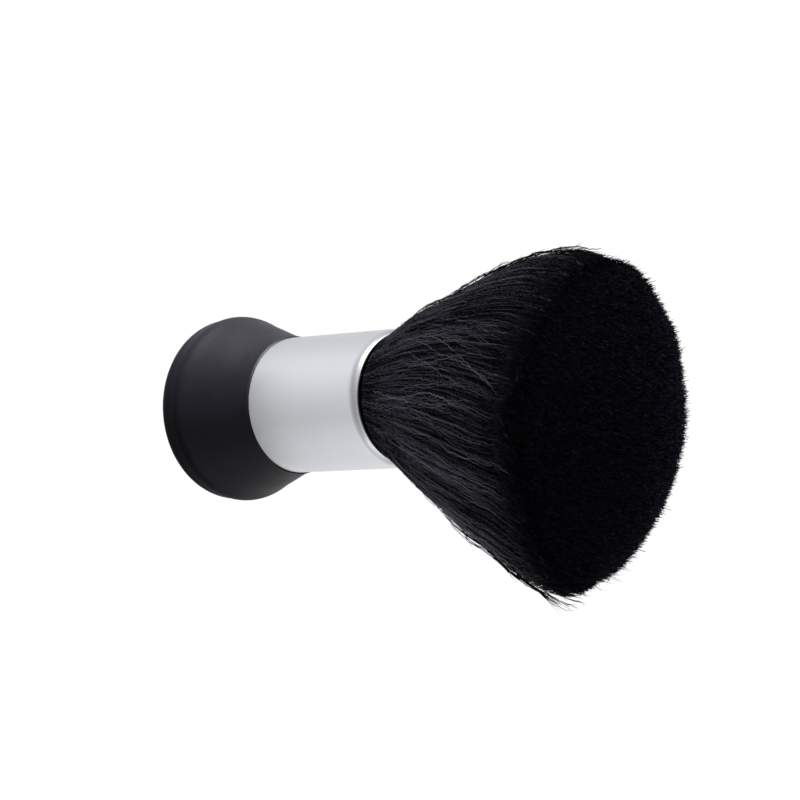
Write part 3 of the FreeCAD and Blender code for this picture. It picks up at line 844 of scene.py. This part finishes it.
# ---------------------------------------------------------------- free ends
def tip_fibres(seed, count, rings):
    """The free ends that make the domed face; also their rho and a random pick."""
    rg = np.random.default_rng(seed)
    rho = np.sqrt((np.arange(count) + rg.uniform(0, 1, count)) / count) * 0.972
    u0 = (np.arange(count) * 2.399963 + rg.normal(0, 0.02, count)) % TAU   # golden angle
    rg.integers(0, max(60, count // 14), count)    # unused, keeps the later draws in step
    k = np.linspace(0, 1, rings)[None, :]
    end = 1.0 + rg.normal(0, 0.010, count) - 0.03 * rg.uniform(0, 1, count) ** 4
    end = end[:, None]
    start = end - rg.uniform(0.040, 0.055, count)[:, None]
    s = start + (end - start) * k
    lean = rg.normal(0, 1, (count, 2))
    points = place(s, u0[:, None], rho[:, None], 0.62 * lean[:, :1] * k, 0.62 * lean[:, 1:] * k)
    radii = thickness(rg, count, 0.098, 0.16, 1 - 0.40 * k)
    shade = rg.beta(1.0, 3.0, count)[:, None] * np.ones_like(s)
    order = np.argsort(np.floor(rho * 4) * 10 + u0)
    return points[order], radii[order], shade[order], rho[order], rg.uniform(0, 1, count)


points, radii, shade, tip_rho, pick = tip_fibres(seed=31, count=int(84000 * DENSITY), rings=2)
# tips near the rim get fewer glints and the darker EDGE colour: painted shade on the dome's edge
glint = pick < 0.22 - 0.12 * smooth(0.80, 0.97, tip_rho)
at_rim = (tip_rho >= 0.92) & ~glint
rest = ~glint & ~at_rim
add_fibres("bristles_tip", TIP, points[rest], radii[rest], shade[rest])
add_fibres("bristles_tip_glint", GLINT, points[glint], radii[glint] * 0.8, shade[glint])
add_fibres("bristles_tip_rim", EDGE, points[at_rim], radii[at_rim], shade[at_rim])


def edge_fibres(seed, count, rings):
    """Free ends on the rounded edge between side and dome: sparse low down, dense at the rim."""
    rg = np.random.default_rng(seed)
    u0 = rg.uniform(0, TAU, count)
    k = np.linspace(0, 1, rings)[None, :]
    end = (1.0 - 0.07 * rg.uniform(0, 1, count) ** 1.9)[:, None]
    s = end - rg.uniform(0.03, 0.05, count)[:, None] * (1 - k)
    lean = rg.normal(0, 1, (count, 2))
    rho = (1.002 - 0.030 * rg.uniform(0, 1, count))[:, None] - 0.010 * k
    points = place(s, u0[:, None], rho, 0.5 * lean[:, :1] * k, 0.4 * lean[:, 1:] * k)
    radii = thickness(rg, count, 0.105, 0.15, 1 - 0.6 * smooth(0.3, 1, k))
    shade = rg.beta(1.2, 3.0, count)[:, None] * np.ones_like(s)
    order = np.argsort(u0)
    return points[order], radii[order], shade[order]


# the ends on the edge take the darker EDGE colour: painted shade
add_fibres("bristles_edge", EDGE, *edge_fibres(seed=33, count=int(3600 * DENSITY), rings=3))

# -------------------------------------------------------------------- floor
FLOOR_HALF = 4.0
FLOOR_RANGE = 0.30     # metres from the axis at which the floor's radial ramps end
# Radial ramps: (fraction of FLOOR_RANGE, level). Turn ramps: (azimuth in degrees, level).
# For bounce light and reflections the floor's level is painted light and shade, darker near the base
# and varied by azimuth; the camera sees it white.
FLOOR_RADIAL = [(0.0, 0.75), (0.15, 0.88), (0.34, 0.90), (0.70, 0.50), (1.0, 0.45)]
FLOOR_TURN = [
    (-180, 0.78), (-160, 0.92), (-140, 1.0), (-118, 0.98), (-95, 0.84), (-70, 0.74),
    (-45, 0.84), (-15, 0.94), (30, 0.95), (80, 0.80), (130, 0.70), (158, 0.70), (180, 0.78)]
# a painted shadow close to the base, mostly on the -Y side
SHADOW_RADIAL = [(0.0, 0.5), (0.09, 0.6), (0.115, 1.0), (0.14, 1.0), (0.185, 0.0)]
SHADOW_TURN = [
    (-180, 0.0), (-150, 0.1), (-125, 0.75), (-100, 0.85), (-40, 0.85), (-15, 0.6), (15, 0.0)]
# a second turn ramp that sets in further out
OUTER_RADIAL = [(0.0, 0.0), (0.33, 0.0), (0.40, 1.0)]
OUTER_TURN = [
    (-180, 0.80), (-140, 0.63), (-118, 0.64), (-95, 0.77), (-70, 0.87), (-45, 0.97),
    (-15, 1.0), (30, 0.90), (180, 0.80)]


def floor_material():
    material = bpy.data.materials.new("floor_mat")
    material.use_nodes = True
    nt = material.node_tree
    nt.nodes.clear()
    position = add(nt, "NewGeometry").outputs["Position"]
    length = add(nt, "VectorMath", operation="LENGTH")
    nt.links.new(position, length.inputs[0])
    far = maths(nt, "MULTIPLY", length.outputs["Value"], 1 / FLOOR_RANGE)
    radial = grey_ramp(nt, FLOOR_RADIAL, far)
    shadow_radial = grey_ramp(nt, SHADOW_RADIAL, far)
    turn, _ = azimuth(nt, position)
    around = turn_ramp(nt, FLOOR_TURN, turn)
    shadow_around = turn_ramp(nt, SHADOW_TURN, turn)
    painted_shadow = maths(nt, "MULTIPLY", shadow_radial, shadow_around)
    keep = maths(nt, "SUBTRACT", 1.0, painted_shadow)
    level = multiply(nt, multiply(nt, radial, around), keep)
    outer_around = turn_ramp(nt, OUTER_TURN, turn)
    outer = grey_ramp(nt, OUTER_RADIAL, far)
    level = multiply(nt, level, mix_colours(nt, outer, (0.80, 0.80, 0.80, 1), outer_around))
    level = multiply(nt, level, (1.25, 1.25, 1.25, 1))
    mottle = noise(nt, position, Scale=60.0, Detail=3.0)
    level = maths(nt, "MULTIPLY_ADD", mottle, 0.01, level)
    # what the brush receives and reflects: the painted light and shade above, with a painted glow
    # though the floor is no lamp
    diffuse = add(nt, "BsdfDiffuse", Color=level).outputs[0]
    glow = add(nt, "Emission", Color=level, Strength=0.22).outputs[0]
    lit = join_shaders(nt, "AddShader", diffuse, glow)
    # seen by the camera the floor is close to white, with a light contact shade
    shaded = add(nt, "BsdfDiffuse", Color=(0.9, 0.9, 0.9, 1)).outputs[0]
    white = add(nt, "Emission", Color=(1, 1, 1, 1), Strength=1.03).outputs[0]
    seen = join_shaders(nt, "MixShader", 0.97, shaded, white)
    camera_ray = add(nt, "LightPath").outputs["Is Camera Ray"]
    add(nt, "OutputMaterial", Surface=join_shaders(nt, "MixShader", camera_ray, lit, seen))
    return material


def build_floor():
    h = FLOOR_HALF
    me = bpy.data.meshes.new("floor")
    me.from_pydata([(-h, -h, 0), (h, -h, 0), (h, h, 0), (-h, h, 0)], [], [(0, 1, 2, 3)])
    me.update()
    ob = put("floor", me)
    ob.data.materials.append(floor_material())


build_floor()

# -------------------------------------------------------------------- world
# Brightness of the surroundings by azimuth (degrees), and by height (0 down, 1 up).
WALL_TURN = [
    (-180, 0.80), (-150, 0.88), (-131, 0.74), (-114, 0.52), (-95, 0.36), (-66, 0.36),
    (-45, 0.48), (-26, 0.60), (0, 0.60), (60, 0.35), (120, 0.35), (160, 0.65), (180, 0.80)]
WALL_HEIGHT = [(0.0, 1), (0.68, 1), (0.84, 0.35), (1.0, 0.15)]


def build_world():
    world = bpy.data.worlds.new("studio")
    SCENE.world = world
    world.use_nodes = True
    nt = world.node_tree
    nt.nodes.clear()
    seen = add(nt, "Background", Color=(1, 1, 1, 1), Strength=1.0).outputs[0]
    turn, z = azimuth(nt, add(nt, "TexCoord").outputs["Generated"])
    wall = turn_ramp(nt, WALL_TURN, turn)
    height = maths(nt, "MULTIPLY_ADD", z, 0.5, 0.5)
    sky = multiply(nt, wall, grey_ramp(nt, WALL_HEIGHT, height))
    ambient = add(nt, "Background", Color=sky, Strength=1.0).outputs[0]
    camera_ray = add(nt, "LightPath").outputs["Is Camera Ray"]
    add(nt, "OutputWorld", Surface=join_shaders(nt, "MixShader", camera_ray, ambient, seen))


build_world()


# ------------------------------------------------------------------- lights
def area(name, place, aim_z, size, power, only=None):
    """Rectangular light aimed at a point on the Z axis; only limits what it lights."""
    light = bpy.data.lights.new(name, "AREA")
    light.shape = "RECTANGLE"
    light.size, light.size_y = size
    light.energy = power
    ob = put(name, light)
    ob.location = place
    direction = Vector((0, 0, aim_z)) - Vector(place)
    ob.rotation_euler = direction.to_track_quat("-Z", "Y").to_euler()
    ob.visible_camera = False
    if only:
        ob.light_linking.receiver_collection = only


knob_only = bpy.data.collections.new("grip_light_only")
knob_only.objects.link(NODES["knob_shell"])

# up in the camera's view is -X: the large soft source stands on that side
area("key", place=(-0.75, -0.10, 0.38), aim_z=0.06, size=(0.9, 0.75), power=5.0)
area("grip_light", place=(-0.80, -0.05, 0.30), aim_z=0.02, size=(0.60, 0.90), power=58.0,
     only=knob_only)
area("grip_low_light", place=(0.80, -0.25, 0.25), aim_z=0.02, size=(0.8, 0.6), power=3.0,
     only=knob_only)
area("fill", place=(0.85, -0.15, 0.30), aim_z=0.06, size=(0.7, 0.5), power=1.0)
area("top", place=(0.0, 0.35, 1.05), aim_z=0.05, size=(1.0, 0.8), power=6.0)

# ------------------------------------------------------------------- camera
camera = bpy.data.cameras.new("camera")
camera.sensor_width = 36.0
camera.lens = 149.211
camera.clip_start = 0.05
camera.clip_end = 20
camera_ob = put("camera", camera)
camera_ob.matrix_world = Matrix(
    [(right, up, back, at * MM)
     for right, up, back, at in zip(VIEW_RIGHT, VIEW_UP, VIEW_BACK, VIEW_FROM)]
    + [(0, 0, 0, 1)])
SCENE.camera = camera_ob

view = SCENE.view_settings
view.view_transform = "Standard"
view.look = "None"
view.exposure = 0.0
view.gamma = 1.0
